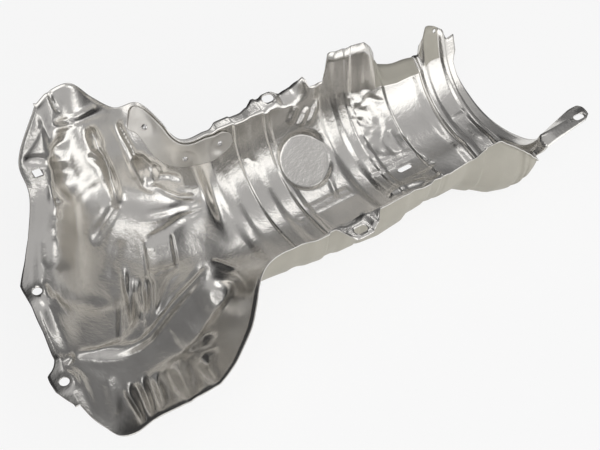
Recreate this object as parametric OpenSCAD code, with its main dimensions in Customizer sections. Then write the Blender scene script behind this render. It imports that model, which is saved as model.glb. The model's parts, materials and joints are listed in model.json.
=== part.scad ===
// Heat shield for an exhaust: one pressed sheet with a riveted strap.
// A half round trough runs along X and opens into a wide bowl at its left end.
// Sizes are millimetres. The shield lies on its back, hollow side up.

/* [Sheet] */
// Thickness of the pressed sheet
sheet_t = 1; // [0.9:0.1:1.2]
// Inside radius of the half round trough
trough_r = 77; // [75:0.5:79]
// Distance from the trough's axis origin to its open end
trough_end = 276; // [275:1:278]
// Width of the lip left around the trimmed edge
lip_w = 3; // [2.5:0.5:4]

/* [Round seat] */
// Distance of the round seat along the trough
seat_x = 84; // [82:1:86]
// Angle of the seat below the far rim
seat_a = 50; // [48:1:52]
// Radius of the seat's flat face
seat_r = 24; // [22:1:25]
// Distance of the flat face from the trough's axis
seat_rho = 79.5; // [79:0.5:80]

/* [Pocket, ridge and pads] */
// Height of the ridge along the near side of the bowl
ridge_h = 4; // [2:0.5:5]
// Depth of the crease in the pocket behind the ridge
pocket_d = 9; // [5:0.5:10]
// Width of the pocket's flat face, from the crease to the ridge
pocket_face = 31; // [28:1:33]
// Height of the long pad between the trough's ribs
print_pad_h = 0.8; // [0.5:0.1:1]
// Depth of the pad around the slot in the trough's floor
slot_pad_d = 1.2; // [0.8:0.1:1.5]
// Side of the square pad on the bowl's floor
pad_side = 25; // [22:1:27]
// Depth of the square pad
pad_d = 1.5; // [1:0.5:2]

/* [Mount holes] */
// Radius of the two bowl ear holes
ear_hole_r = 4.25; // [4:0.25:4.5]
// Radius of the far flange hole
far_hole_r = 4.5; // [4:0.25:5]
// Side of the square hole near the left ear
square_hole = 8; // [6:0.5:9]
// Width of the slots in the near tab and the end arm
slot_w = 8; // [7:0.5:8]
// Length of those slots
slot_l = 13; // [12:0.5:14]

/* [Strap and rivets] */
// Thickness of the strap over the notch
strap_t = 1.5; // [1.2:0.1:1.8]
// Radius of a rivet's shank
rivet_r = 1.6; // [1.5:0.1:1.8]
// Radius of a rivet's head
rivet_head_r = 2.9; // [2.6:0.1:3.2]
// Height of a rivet's head
rivet_head_h = 1.5; // [1.2:0.1:1.8]

/* [Rest] */
// Roll of the trough about its axis as the shield lies at rest
rest_roll = -7.4; // [-12:0.1:0]
// Pitch of the trough as the shield lies at rest
rest_pitch = 0.7; // [0:0.1:2]
// Height of the trough's axis above the ground
rest_lift = 82.29; // [82:0.01:84]

/* [Hidden] */
over = 20;
// From the middle of the shield's outline, seen from above, to the trough's origin
rest_shift = [-47.36, -15.91];

// Bowl sections from the left end to the trough, 25 apart along the shield.
// Each has seven points from the far rim over the floor to the near rim.
bowl = [
    [[-130, 172, 30], [-168, 128, 20], [-178, 88, 10], [-214, 26, -15], [-226, -48, -24],
     [-232, -66, -26], [-233, -96, -28]],
    [[-114, 178, 33], [-140, 130, 15], [-157, 84, 0], [-200, 20, -20], [-218, -50, -31],
     [-222, -74, -30], [-230, -112, -30]],
    [[-93, 177, 33], [-119, 141, 0], [-137, 104, -38], [-172, 25, -48], [-208, -51, -37],
     [-215, -82, -36], [-225, -124, -32]],
    [[-83, 154, 28], [-102, 134, -10], [-115, 105, -52], [-148, 30, -62], [-190, -53, -45],
     [-202, -90, -42], [-219, -137, -32]],
    [[-71, 133, 25], [-86, 121, -15], [-94, 98, -58], [-122, 32, -70], [-168, -53, -53],
     [-184, -93, -48], [-207, -143, -30]],
    [[-50, 127, 25], [-67, 110, -10], [-72, 92, -60], [-99, 34, -76], [-143, -45, -62],
     [-160, -86, -54], [-189, -142, -27]],
    [[-40, 106, 15], [-54, 97, -20], [-54, 82, -62], [-80, 33, -77], [-118, -30, -68],
     [-129, -78, -62], [-160, -146, -22]],
    [[-35, 88, 5], [-36, 87, -30], [-39, 70, -62], [-65, 30, -77], [-90, -16, -73],
     [-90, -58, -70], [-127, -146, -17]],
    [[-25, 80, 2], [-21, 82, -35], [-22, 64, -66], [-45, 25, -77], [-61, -10, -78],
     [-60, -42, -73], [-88, -119, -14]],
];
bowl_n = len(bowl);
pitch_s = 25;
bowl_s = 10 - pitch_s * (bowl_n + 1);

// Angles below the far rim of the same seven lines in the trough
line_a = [0, 30, 60, 90, 118, 142, 178];
// Where the first trough section meets the far and the near rim
mouth_far = -5;
mouth_near = -44;
// Heights of the trough's far and near rims, and how far its near wall bulges
far_z = [[-41, 12], [-15, 6], [23, 4], [53, 1], [79, -6], [102, -8], [131, -14], [165, -24],
    [181, -29], [208, -34], [236, -34], [254, -28], [277, -30]];
near_z = [[-44, -7], [0, -5], [20, -2], [60, 2], [100, 0], [120, -4], [150, -8], [182, -4],
    [190, 6], [205, 14], [219, 1], [242, -19], [255, -31], [265, -42], [271, -43], [276, -29]];
bulge = [[-30, 0], [-10, 3], [25, 8], [50, 9], [80, 12], [105, 10], [120, 3], [132, 2],
    [150, 6], [178, 6], [195, 17], [210, 27], [228, 32], [246, 32], [258, 27], [268, 18], [276, 5]];

// Steps across the trough: start, end and rise towards the hollow side
ribs = [[-14, -8, 1.5], [-2, 6, -1.5], [18, 22, 1.8], [32, 41, -1.8], [51, 55, 2], [57, 63, -2],
    [111, 122, -3.2], [130, 142, 3.2], [145, 148, 1.2], [151, 155, -1.2], [191, 194.5, 1.6],
    [226, 234, 2], [235, 238, -2.2], [239.5, 242, 2.4], [244, 250, -2], [265, 269, 2.4], [271, 274, -2]];

// Flanges and tabs: place, width and rise angle from level
far_lip = [[-240, lip_w, 60], [-135, lip_w, 60], [-60, lip_w, 30], [-15, 4, 20], [0, 8, 20],
    [30, 9, 12], [42, 11, 12], [50, 17, 14], [72, 18, 14], [80, 15, 24], [92, 17, 45], [99, 22, 70],
    [104, 26, 76], [107, 15, 88], [126, 15, 88], [129, 46, 88], [133, 50, 88], [150, 55, 88],
    [170, 59, 88], [177, 52, 86], [184, 40, 80], [190, 30, 60], [197, 24, 36], [215, 20, 34],
    [232, 19, 34], [242, 16, 45], [245, 34, 76], [250, 42, 77], [262, 37, 75], [270, 31, 72],
    [276, 18, 70]];
near_lip = [[-240, lip_w, 0], [-60, lip_w, 10], [-28, 7, 10], [-5, lip_w, 60], [27, lip_w, 20], [31, 10, 0],
    [35, 22, 0], [56, 21, 0], [64, 13, 0], [72, lip_w, 20], [180, lip_w, 70],
    [262, lip_w, 20], [271, 6, -20], [276, 14, -20]];
left_lip = [[0, lip_w, 40], [2.5, lip_w, 10], [2.75, 5, 0], [3, 10, 0], [3.3, 5, 0], [3.6, lip_w, 0],
    [4, 4, 0], [4.4, 8, 0], [4.8, 12, 0], [5.4, 12, 0], [5.8, 7, 0], [6, 4, 0]];
// Reach of the end lip past the trough, with the arm near the near rim
end_lip = [[0, [9, 0, 2]], [0.4, [4, 0, 1]], [1, [4, 0, 0]], [2, [7, 0, 0]], [4, [12, 0, 0]],
    [5.2, [12, 0, 0]], [5.4, [8, 0, 0]], [5.55, [50, 10, 6]], [5.7, [60, 11, 3]], [5.85, [63, 8, 0]],
    [6, [64, 4, -4]], [6.5, [62, 5, -2]], [7, [55, 7, 1]]];

// The press plane, on which the folds are laid out, seen from above the near side
press_turn = 34;
press_tilt = 49;
press_x = [cos(press_turn), -sin(press_turn), 0];
press_y = [sin(press_turn) * sin(press_tilt), cos(press_turn) * sin(press_tilt), cos(press_tilt)];
// Folds in the bowl: a bent line on the press plane, its rise and its half width
folds = [
    [[[-201, 70], [-194, 53], [-190, 43], [-187, 28]], -2.5, 7],
    [[[-209, 22], [-198, 22], [-191, 21], [-184, 31]], 3.5, 6],
    [[[-182, 50], [-183, 29], [-185, 23], [-180, 15], [-177, 2], [-178, -12]], -6, 7],
    [[[-160, 56], [-157, 45], [-152, 32], [-143, 11], [-134, -18]], -8, 8],
    [[[-131, 60], [-126, 45], [-121, 36], [-116, 24]], -5, 7],
    [[[-118, 28], [-109, 17], [-101, 14], [-96, 10]], -7, 12],
    [[[-138, -16], [-155, -52]], 2, 10],
    [[[-178, -44], [-171, -75]], 2.5, 9],
    [[[-183, -44], [-180, -72]], -2, 7],
    [[[-182, -80], [-173, -91], [-165, -101], [-140, -108], [-130, -105], [-132, -92]], -1.5, 8],
    [[[-131, -50], [-137, -84]], 1.5, 8],
    [[[-150, -143], [-133, -144], [-119, -139], [-109, -132], [-103, -123], [-101, -112]], ridge_h - 1, 6],
    [[[-135, -146], [-117, -144], [-101, -139], [-92, -130], [-72, -101], [-49, -75]], ridge_h, 6],
    [[[-73, -77], [-83, -87], [-87, -101], [-90, -115]], 1.5, 5],
    [[[-184, -102], [-166, -132], [-159, -144]], -3, 7],
    [[[-107, -168], [-85, -191]], -4, 5],
    [[[-96, -163], [-79, -186]], -4, 5],
    [[[-85, -160], [-70, -181]], -4, 6],
    [[[-69, -152], [-48, -172]], -4, 8],
    [[[-44, -148], [-27, -160]], -3, 6],
];
// The pocket's crease, and the width of the wall that climbs out of it
pocket_line = [[-18, -80], [-34, -97], [-46, -115], [-55, -129], [-64, -141], [-82, -152], [-101, -168]];
pocket_wall = 15;
pad_at = [-94, -64];
pad_turn = 15;
// Pads on the trough: first and last distance, first and last angle, rise
trough_pads = [[57, 106, 82, 91, print_pad_h], [137, 192, 84, 101, -slot_pad_d]];
pad_slant = 0.35;

// Flat seats in the sheet: centre, direction of the hole, half slot length along the shield
hole_ear_left = [[-214, 14, -16], [0, 0, 1], ear_hole_r, 0];
hole_ear_low = [[-234, -74, -26], [0, 0, 1], ear_hole_r, 0];
hole_near_tab = [[45, -94, 0], [0, 0, 1], slot_w / 2, (slot_l - slot_w) / 2];
hole_far_flange = [[66, 87, 4], [0, -0.2, 1], far_hole_r, 1.5];
hole_far_ear = [[261, 78, 3], [0, -1, 0.25], 2, 0];
hole_floor = [[171, 0, -77], [0, 0, 1], 3, 5];
hole_arm = [[327, -73, -33], [0, 0, 1], 3.5, 2.5];
square_at = [[-162, 111, 14], [0.15, -0.25, 0.96]];
holes = [hole_ear_left, hole_ear_low, hole_near_tab, hole_far_flange, hole_far_ear, hole_arm];
rivet_left_at = [[-52, 114, 9], [-0.5, -0.65, 0.6]];
rivet_middle_at = [[-29, 85, -19], [-0.35, -0.95, 0]];
rivet_right_at = [[3, 76, -10], [0, -1, 0.15]];
rivets = [rivet_left_at, rivet_middle_at, rivet_right_at];
land_r = 6;

// At each rivet the sheet and the strap have a flat round land, and elsewhere the strap stands clear
land_disc_r = 4.5;
land_up = 0.2;
strap_gap = 1;
sheet_land = sheet_t / 2 + land_up;
strap_land = sheet_t / 2 + strap_gap + strap_t + land_up;

// Lines of the sheet's mesh, along the shield and across it
// The bowl's lines stand closer over the pleats and the pocket
s_bowl = concat([for (s = [bowl_s : pitch_s / 3 : -157]) s],
    [for (s = [-152.5 : pitch_s / 4 : -57]) s], [for (s = [-48.3 : pitch_s / 3 : 9]) s]);
s_trough = [10, 18, 20, 22, 27, 32, 36.5, 41, 46, 51, 55, 57, 63, 71, 80, 89, 98, 104, 107, 116, 126,
    130, 136, 142, 148, 155, 163, 171, 177, 184, 191, 194.5, 203, 215, 226, 234, 238, 242, 245, 250,
    258, 265, 271, 276];
s_lines = concat([bowl_s - 1, bowl_s - 0.5], s_bowl, s_trough, [276.33, 276.67, 277]);
c_lines = [-1, -0.5, 0, 0.2, 0.4, 0.6, 0.8, 1, 1.2, 1.4, 1.6, 1.8, 2, 2.2, 2.4, 2.6, 2.8, 3, 3.2, 3.4,
    3.6, 3.8, 3.9, 4, 4.1, 4.2, 4.4, 4.6, 4.8, 5, 5.2, 5.4, 5.55, 5.7, 5.85, 6, 6.5, 7];

function limit(a, b, t) = min(b, max(a, t));
function ease(a, b, t) = let (k = limit(0, 1, (t - a) / (b - a))) k * k * (3 - 2 * k);
function spline(p, q, r, s, t) = 0.5 * (2 * q + (r - p) * t + (2 * p - 5 * q + 4 * r - s) * t * t
    + (3 * q - p - 3 * r + s) * t * t * t);
function unit(v) = v / norm(v);
function pair(table, k) = [for (row = table) [row[0], row[k]]];
function reach(table, t) = [for (k = [0 : 2]) lookup(t, [for (row = table) [row[0], row[1][k]]])];
function wing(table, t) = [lookup(t, pair(table, 1)), lookup(t, pair(table, 2))];

// A point of bowl section k on line c
function bowl_line(k, i) =
    i < 0 ? 2 * bowl[k][0] - bowl[k][1] :
    i > 6 ? 2 * bowl[k][6] - bowl[k][5] : bowl[k][i];
function bowl_point(k, c) = let (i = limit(0, 5, floor(c)))
    spline(bowl_line(k, i - 1), bowl_line(k, i), bowl_line(k, i + 1), bowl_line(k, i + 2), c - i);

// A point of the trough at distance x on line c
function line_angle(c) = lookup(c, [for (i = [0 : 6]) [i, line_a[i]]]);
function rim_drop(z, r) = asin(limit(-1, 1, z / r));
function trough_point(x, c) =
    let (b = lookup(x, bulge),
        af = -rim_drop(lookup(x, far_z), trough_r),
        an = 180 + rim_drop(lookup(x, near_z), trough_r + b / 2),
        a = c < 2 ? 60 - (60 - af) * (2 - c) / 2 : c > 5 ? 142 + (an - 142) * (c - 5) : line_angle(c),
        r = trough_r + b * ease(95, 140, a) * (1 - 0.5 * ease(145, 180, a)),
        w = limit(0, 180, a),
        rise = a < 0 ? -a : a > 180 ? a - 180 : 0)
    [x, r * cos(w), -r * sin(w) + rise * PI / 180 * trough_r];

// A point of section k, which is a bowl section or one of the trough's first two
function section(k, c) =
    k < 0 ? 2 * bowl_point(0, c) - bowl_point(1, c) :
    k < bowl_n ? bowl_point(k, c) :
    k == bowl_n ? trough_point(mouth_far + (mouth_near - mouth_far) * c / 6, c) :
    k == bowl_n + 1 ? trough_point(10, c) : trough_point(10 + pitch_s, c);
function skin(s, c) = s >= 10 ? trough_point(s, c) :
    let (u = (s - bowl_s) / pitch_s, k = floor(u))
    spline(section(k - 1, c), section(k, c), section(k + 1, c), section(k + 2, c), u - k);

// What the press adds to the smooth skin, as a rise towards the hollow side
function rib_rise(x) = let (t = [for (r = ribs) r[2] * ease(r[0], r[1], x)]) sum(t);
function sum(t, i = 0) = i == len(t) ? 0 : t[i] + sum(t, i + 1);
function seat_rise(p, a) =
    let (off = trough_r * (a - seat_a) * PI / 180, d = norm([p[0] - seat_x, off]))
    d > seat_r + 4 ? [0, 0] :
    [1 - ease(seat_r, seat_r + 4, d), norm([p[1], p[2]]) - seat_rho / cos(a - seat_a)];
function press_place(p) = [p * press_x, p * press_y];
// Distance to one stretch of a bent line, the place along the line, and the side
function stretch(q, line, i) =
    let (d = line[i + 1] - line[i], t = limit(0, 1, (q - line[i]) * d / (d * d)), off = q - line[i] - d * t)
    [norm(off), (i + t) / (len(line) - 1), sign(d[0] * off[1] - d[1] * off[0])];
function nearest(q, line, i = 0) =
    i == len(line) - 2 ? stretch(q, line, i) :
    let (here = stretch(q, line, i), next = nearest(q, line, i + 1)) here[0] <= next[0] ? here : next;
function fold_rise(q, f) =
    let (n = nearest(q, f[0]), e = n[0] / f[2])
    e >= 1 ? 0 : f[1] * (1 - pow(2 * n[1] - 1, 4)) * (1 - e) * (1 - e) * (1 + 1.5 * e);
function pocket_rise(q) =
    let (n = nearest(q, pocket_line), e = limit(0, 1, n[0] / (n[2] < 0 ? pocket_face : pocket_wall)))
    -pocket_d * ease(0, 0.16, n[1]) * (1 - ease(0.45, 1, n[1])) * pow(1 - e, 1.2);
function pad_rise(q) =
    let (d = q - pad_at, a = d * [cos(pad_turn), sin(pad_turn)], b = d * [-sin(pad_turn), cos(pad_turn)],
        e = max(abs(a), abs(b)))
    -pad_d * (1 - ease(pad_side / 2 - 1, pad_side / 2 + 2, e));
function trough_pad(p, a, f) =
    let (x = p[0] - pad_slant * (a - f[2]))
    f[4] * ease(f[0] - 1.5, f[0] + 1.5, x) * (1 - ease(f[1] - 1.5, f[1] + 1.5, x))
    * ease(f[2] - 1, f[2] + 1, a) * (1 - ease(f[3] - 1, f[3] + 1, a));
function trough_rise(s, c, p) =
    let (a = atan2(-p[2], p[1]), r = rib_rise(p[0]) * ease(-25, -12, s), d = seat_rise(p, a))
    r * (1 - d[0]) + d[1] * d[0] + (c < 4.4 ? sum([for (f = trough_pads) trough_pad(p, a, f)]) : 0);
function rise(s, c, p) =
    let (q = press_place(p))
    (s < -10 ? sum([for (f = folds) fold_rise(q, f)]) + pad_rise(q) + pocket_rise(q) : 0)
    + (s > -30 ? trough_rise(s, c, p) : 0);
function hollow_side(s, c) =
    let (h = 0.02, along = skin(s + 1, c) - skin(s, c), from = c < 3 ? c : c - h,
        across = skin(s, from + h) - skin(s, from))
    unit(cross(across, along));
function pressed(s, c) = let (p = skin(s, c)) p + hollow_side(s, c) * rise(s, c, p);

// Flat seats: the sheet is drawn flat around each hole
function flatten(p, c, n, r) = let (u = unit(n), d = norm(p - c))
    p - u * ((p - c) * u) * (1 - ease(r, r + 7, d));
function seated(p) = flat_rivets(flat_holes(p, 0), 0);
function flat_holes(p, i) = i == len(holes) ? p :
    flat_holes(flatten(p, holes[i][0], holes[i][1], holes[i][2] + holes[i][3] + 2.5), i + 1);
function flat_rivets(p, i) = i == len(rivets) ? p :
    flat_rivets(flatten(p, rivets[i][0], rivets[i][1], land_r), i + 1);

// The whole sheet, with its lips, flanges and tabs beyond the pressed form
function blank(s, c) =
    let (sc = limit(bowl_s, trough_end, s), cc = limit(0, 6, c),
        f = wing(far_lip, sc), n = wing(near_lip, sc), l = wing(left_lip, cc))
    pressed(sc, cc)
    + max(0, -c) * f[0] * [0, cos(f[1]), sin(f[1])]
    + max(0, c - 6) * n[0] * [0, -cos(n[1]), sin(n[1])]
    + max(0, bowl_s - s) * l[0] * [-cos(l[1]), 0, sin(l[1])]
    + max(0, s - trough_end) * reach(end_lip, c);
function sheet(s, c) = seated(blank(s, c));

// A closed shell of the given thickness around a net of points, shifted along its faces
module shell(net, t, shift) {
    ni = len(net);
    nj = len(net[0]);
    face = [for (i = [0 : ni - 1]) [for (j = [0 : nj - 1])
        let (a = net[min(ni - 1, i + 1)][j] - net[max(0, i - 1)][j],
            b = net[i][min(nj - 1, j + 1)] - net[i][max(0, j - 1)]) unit(cross(b, a))]];
    top = [for (i = [0 : ni - 1]) for (j = [0 : nj - 1]) net[i][j] + face[i][j] * (shift + t / 2)];
    low = [for (i = [0 : ni - 1]) for (j = [0 : nj - 1]) net[i][j] + face[i][j] * (shift - t / 2)];
    m = ni * nj;
    skin_faces = [for (i = [0 : ni - 2]) for (j = [0 : nj - 2])
        let (a = i * nj + j, b = a + 1, c = a + nj, d = c + 1)
        each [[a, d, b], [a, c, d], [m + a, m + b, m + d], [m + a, m + d, m + c]]];
    ring = concat([for (j = [0 : nj - 1]) j], [for (i = [1 : ni - 1]) i * nj + nj - 1],
        [for (j = [nj - 2 : -1 : 0]) (ni - 1) * nj + j], [for (i = [ni - 2 : -1 : 1]) i * nj]);
    edge_faces = [for (k = [0 : len(ring) - 1])
        let (a = ring[k], b = ring[(k + 1) % len(ring)]) each [[a, b, m + b], [a, m + b, m + a]]];
    polyhedron(concat(top, low), concat(skin_faces, edge_faces));
}

// Turns a tool that stands on Z to a hole's direction, with X kept along the shield
module aim(at, n) {
    z = unit(n);
    y = unit(cross(z, [1, 0, 0]));
    x = cross(y, z);
    multmatrix([[x[0], y[0], z[0], at[0]], [x[1], y[1], z[1], at[1]], [x[2], y[2], z[2], at[2]]])
        children();
}

// A round or long hole tool
module hole(h) {
    aim(h[0], h[1]) {
        for (side = h[3] > 0 ? [-1, 1] : [0])
            translate([side * h[3], 0, -over / 2])
                cylinder(r = h[2], h = over, $fn = 48);
        if (h[3] > 0)
            cube([2 * h[3], 2 * h[2], over], center = true);
    }
}

// Flat round lands at the rivets, between two heights above the sheet's middle, and the rivets' holes
module rivet_lands(low, high) {
    for (r = rivets)
        aim(r[0], r[1])
            translate([0, 0, low])
                cylinder(r = land_disc_r, h = high - low, $fn = 32);
}
module rivet_holes() {
    for (r = rivets)
        hole([r[0], r[1], rivet_r + 0.1, 0]);
}

module at_rest() {
    translate([rest_shift[0], rest_shift[1], rest_lift])
        rotate([rest_roll, rest_pitch, 0])
            children();
}

module shield() {
    color("silver")
        at_rest()
            difference() {
                union() {
                    shell([for (s = s_lines) [for (c = c_lines) sheet(s, c)]], sheet_t, 0);
                    rivet_lands(-sheet_land, sheet_land);
                }
                for (h = concat(holes, [hole_floor]))
                    hole(h);
                aim(square_at[0], square_at[1])
                    cube([square_hole, square_hole, over], center = true);
                rivet_holes();
            }
}

// The strap's middle line and half width along the shield
strap_line = [[-125, 0.28, 0.2], [-122, 0.28, 0.27], [-105, 0.4, 0.3], [-80, 0.62, 0.36], [-53, 0.62, 0.34],
    [-20, 0.44, 0.3], [8, 0.36, 0.28], [14, 0.36, 0.2], [17, 0.36, 0.1]];
strap_s = concat([-125, -122], [for (s = s_lines) if (s > -122 && s < 13) s], [14, 17]);
function strap_point(s, k) =
    let (w = wing(strap_line, s)) sheet(s, w[0] + w[1] * k);

module strap() {
    color("dimgray")
        at_rest()
            difference() {
                union() {
                    shell([for (s = strap_s) [for (k = [-1 : 0.25 : 1]) strap_point(s, k)]],
                        strap_t, (sheet_t + strap_t) / 2 + strap_gap);
                    rivet_lands(sheet_land, strap_land);
                }
                rivet_holes();
            }
}

// A rivet with a domed head on the strap and a formed tail behind the sheet
module rivet(r) {
    color("lightgray")
        at_rest()
            aim(r[0], r[1])
                rotate_extrude($fn = 24)
                    polygon(concat([[0, -sheet_land - 1.1], [rivet_r * 1.25, -sheet_land - 1.1],
                        [rivet_r * 1.5, -sheet_land - 0.7], [rivet_r * 1.5, -sheet_land],
                        [rivet_r, -sheet_land], [rivet_r, strap_land]],
                        [for (a = [0 : 18 : 72]) [rivet_head_r * cos(a), strap_land + rivet_head_h * sin(a)]],
                        [[0, strap_land + rivet_head_h]]));
}
module rivet_left() { rivet(rivet_left_at); }
module rivet_middle() { rivet(rivet_middle_at); }
module rivet_right() { rivet(rivet_right_at); }

shield();
strap();
rivet_left();
rivet_middle();
rivet_right();
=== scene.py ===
# %% [markdown]
# # A pressed exhaust heat shield
# The real part is one thin aluminium sheet, pressed between two dies. On the right it is a ribbed
# half pipe that lies along an exhaust canister, and on the left it opens into a wide creased bowl.
# A matt strap and three rivets close the notch between the two. This lesson dresses the measured
# model of that part: it loads the fixed frame, makes a finer sheet in the same place, and gives
# each surface its finish.

# %% Load the frame
import json
import math

import bmesh
import bpy
import numpy as np
from mathutils import Matrix, Vector, noise

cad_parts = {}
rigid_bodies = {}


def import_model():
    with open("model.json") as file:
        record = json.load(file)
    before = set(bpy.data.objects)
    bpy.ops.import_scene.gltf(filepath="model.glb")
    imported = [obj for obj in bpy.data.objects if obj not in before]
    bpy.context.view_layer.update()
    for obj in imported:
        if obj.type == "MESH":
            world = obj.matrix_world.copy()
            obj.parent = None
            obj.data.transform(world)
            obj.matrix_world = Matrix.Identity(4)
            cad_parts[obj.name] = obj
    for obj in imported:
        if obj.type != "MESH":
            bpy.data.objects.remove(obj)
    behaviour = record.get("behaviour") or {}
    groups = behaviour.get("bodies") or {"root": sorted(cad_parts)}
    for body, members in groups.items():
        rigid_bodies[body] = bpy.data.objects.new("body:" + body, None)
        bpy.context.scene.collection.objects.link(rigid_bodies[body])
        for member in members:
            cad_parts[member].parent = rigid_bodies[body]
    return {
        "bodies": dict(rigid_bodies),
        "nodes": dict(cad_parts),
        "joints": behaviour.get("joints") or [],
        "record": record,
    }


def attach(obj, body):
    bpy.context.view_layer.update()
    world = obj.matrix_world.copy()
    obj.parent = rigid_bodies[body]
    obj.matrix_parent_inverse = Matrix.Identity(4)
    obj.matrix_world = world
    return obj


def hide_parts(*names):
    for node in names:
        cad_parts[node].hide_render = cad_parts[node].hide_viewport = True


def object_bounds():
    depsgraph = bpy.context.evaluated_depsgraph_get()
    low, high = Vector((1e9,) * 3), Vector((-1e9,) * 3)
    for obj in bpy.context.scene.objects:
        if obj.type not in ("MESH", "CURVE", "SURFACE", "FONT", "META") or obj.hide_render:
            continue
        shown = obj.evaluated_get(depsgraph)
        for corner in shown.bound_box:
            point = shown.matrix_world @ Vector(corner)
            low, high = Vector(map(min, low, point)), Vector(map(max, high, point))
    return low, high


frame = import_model()
cad_box = [list(corner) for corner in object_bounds()]
print("the measured part spans", cad_box)

# %% [markdown]
# ## Two frames and one turn between them
# The sheet is easiest to describe with X along the trough's axis. At rest the part lies on its
# back, rolled and pitched a little, so one rotation and one shift carry the trough's own frame into
# the frame that it lies in. Sizes are written in millimetres, as on a drawing, and turned into
# metres in a single place.

# %% The turn from the trough's frame to the resting part
MM = 0.001
REST_ROLL = math.radians(-7.4)
REST_PITCH = math.radians(0.7)
REST_SHIFT = np.array([-47.36, -15.91, 82.29])
SHEET_T = 1.0

turn = Matrix.Rotation(REST_PITCH, 3, "Y") @ Matrix.Rotation(REST_ROLL, 3, "X")
TURN = np.array(turn)


def to_rest(points):
    """Points of the trough's frame in millimetres, as points of the resting part in metres."""
    return (np.asarray(points, float) @ TURN.T + REST_SHIFT) * MM


# %% [markdown]
# ## The camera first
# The photograph looks down at the part from the near left. Its view was worked out from the half
# pipe, whose round end shows as an ellipse: 34 degrees round and 49 degrees up, about a metre away.
# A camera is placed by three directions, its right, its up and its back, turned like the part.

# %% Place the camera
VIEW_TURN = math.radians(34)
VIEW_TILT = math.radians(49)
VIEW_DISTANCE = 1000.0
VIEW_TARGET = np.array([0.0, -66.2, 8.5])
MM_PER_PIXEL = 0.86
PHOTO_WIDTH = 600

back = np.array([
    -math.sin(VIEW_TURN) * math.cos(VIEW_TILT),
    -math.cos(VIEW_TURN) * math.cos(VIEW_TILT),
    math.sin(VIEW_TILT),
])
right = np.array([math.cos(VIEW_TURN), -math.sin(VIEW_TURN), 0.0])
up = np.cross(back, right)

camera = bpy.data.objects.new("camera", bpy.data.cameras.new("camera"))
bpy.context.scene.collection.objects.link(camera)
axes = Matrix([TURN @ right, TURN @ up, TURN @ back]).transposed()
place = Vector(to_rest(VIEW_TARGET + VIEW_DISTANCE * back))
camera.matrix_world = Matrix.Translation(place) @ axes.to_4x4()
camera.data.lens = camera.data.sensor_width * VIEW_DISTANCE / (PHOTO_WIDTH * MM_PER_PIXEL)
camera.data.clip_end = 20
bpy.context.scene.camera = camera
print("the lens is", round(camera.data.lens, 1), "mm")

# %% [markdown]
# ## Small helpers for curves
# A pressing is full of soft steps, so one function gives a smooth step between two places. Another
# reads a value from a short table, and a third is the curve that runs through four points in turn.

# %% Curve helpers


def ease(a, b, t):
    """Rises smoothly from 0 at a to 1 at b."""
    k = np.clip((t - a) / (b - a), 0, 1)
    return k * k * (3 - 2 * k)


def read(table, t, column=1):
    """The value at t in a table whose first column is a place."""
    rows = np.array(table, float)
    return np.interp(t, rows[:, 0], rows[:, column])


def spline(p, q, r, s, t):
    """A smooth curve from q to r that heads along its neighbours p and s."""
    return 0.5 * (2 * q + (r - p) * t + (2 * p - 5 * q + 4 * r - s) * t ** 2
                  + (3 * q - p - 3 * r + s) * t ** 3)


# %% [markdown]
# ## The sheet as a net of lines
# A place on the sheet has two numbers: how far it lies along the shield, and which line it lies on
# across it, from the far rim (0) over the floor to the near rim (6). In the bowl, nine sections of
# seven points give the form. In the trough it is a half circle whose rims rise and fall.

# %% The bowl's sections and the trough's rims
BOWL = np.array([
    [[-130, 172, 30], [-168, 128, 20], [-178, 88, 10], [-214, 26, -15], [-226, -48, -24],
     [-232, -66, -26], [-233, -96, -28]],
    [[-114, 178, 33], [-140, 130, 15], [-157, 84, 0], [-200, 20, -20], [-218, -50, -31],
     [-222, -74, -30], [-230, -112, -30]],
    [[-93, 177, 33], [-119, 141, 0], [-137, 104, -38], [-172, 25, -48], [-208, -51, -37],
     [-215, -82, -36], [-225, -124, -32]],
    [[-83, 154, 28], [-102, 134, -10], [-115, 105, -52], [-148, 30, -62], [-190, -53, -45],
     [-202, -90, -42], [-219, -137, -32]],
    [[-71, 133, 25], [-86, 121, -15], [-94, 98, -58], [-122, 32, -70], [-168, -53, -53],
     [-184, -93, -48], [-207, -143, -30]],
    [[-50, 127, 25], [-67, 110, -10], [-72, 92, -60], [-99, 34, -76], [-143, -45, -62],
     [-160, -86, -54], [-189, -142, -27]],
    [[-40, 106, 15], [-54, 97, -20], [-54, 82, -62], [-80, 33, -77], [-118, -30, -68],
     [-129, -78, -62], [-160, -146, -22]],
    [[-35, 88, 5], [-36, 87, -30], [-39, 70, -62], [-65, 30, -77], [-90, -16, -73],
     [-90, -58, -70], [-127, -146, -17]],
    [[-25, 80, 2], [-21, 82, -35], [-22, 64, -66], [-45, 25, -77], [-61, -10, -78],
     [-60, -42, -73], [-88, -119, -14]],
], float)
PITCH = 25.0
TROUGH_START = 10.0
TROUGH_END = 276.0
BOWL_START = TROUGH_START - PITCH * (len(BOWL) + 1)
TROUGH_R = 77.0
LINE_ANGLES = [0, 30, 60, 90, 118, 142, 178]
MOUTH_FAR = -5.0
MOUTH_NEAR = -44.0
FAR_Z = [[-41, 12], [-15, 6], [23, 4], [53, 1], [79, -6], [102, -8], [131, -14], [165, -24],
         [181, -29], [208, -34], [236, -34], [254, -28], [277, -30]]
NEAR_Z = [[-44, -7], [0, -5], [20, -2], [60, 2], [100, 0], [120, -4], [150, -8], [182, -4],
          [190, 6], [205, 14], [219, 1], [242, -19], [255, -31], [265, -42], [271, -43], [276, -29]]
BULGE = [[-30, 0], [-10, 3], [25, 8], [50, 9], [80, 12], [105, 10], [120, 3], [132, 2], [150, 6],
         [178, 6], [195, 17], [210, 27], [228, 32], [246, 32], [258, 27], [268, 18], [276, 5]]

# %% The smooth skin without ribs and folds


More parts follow.
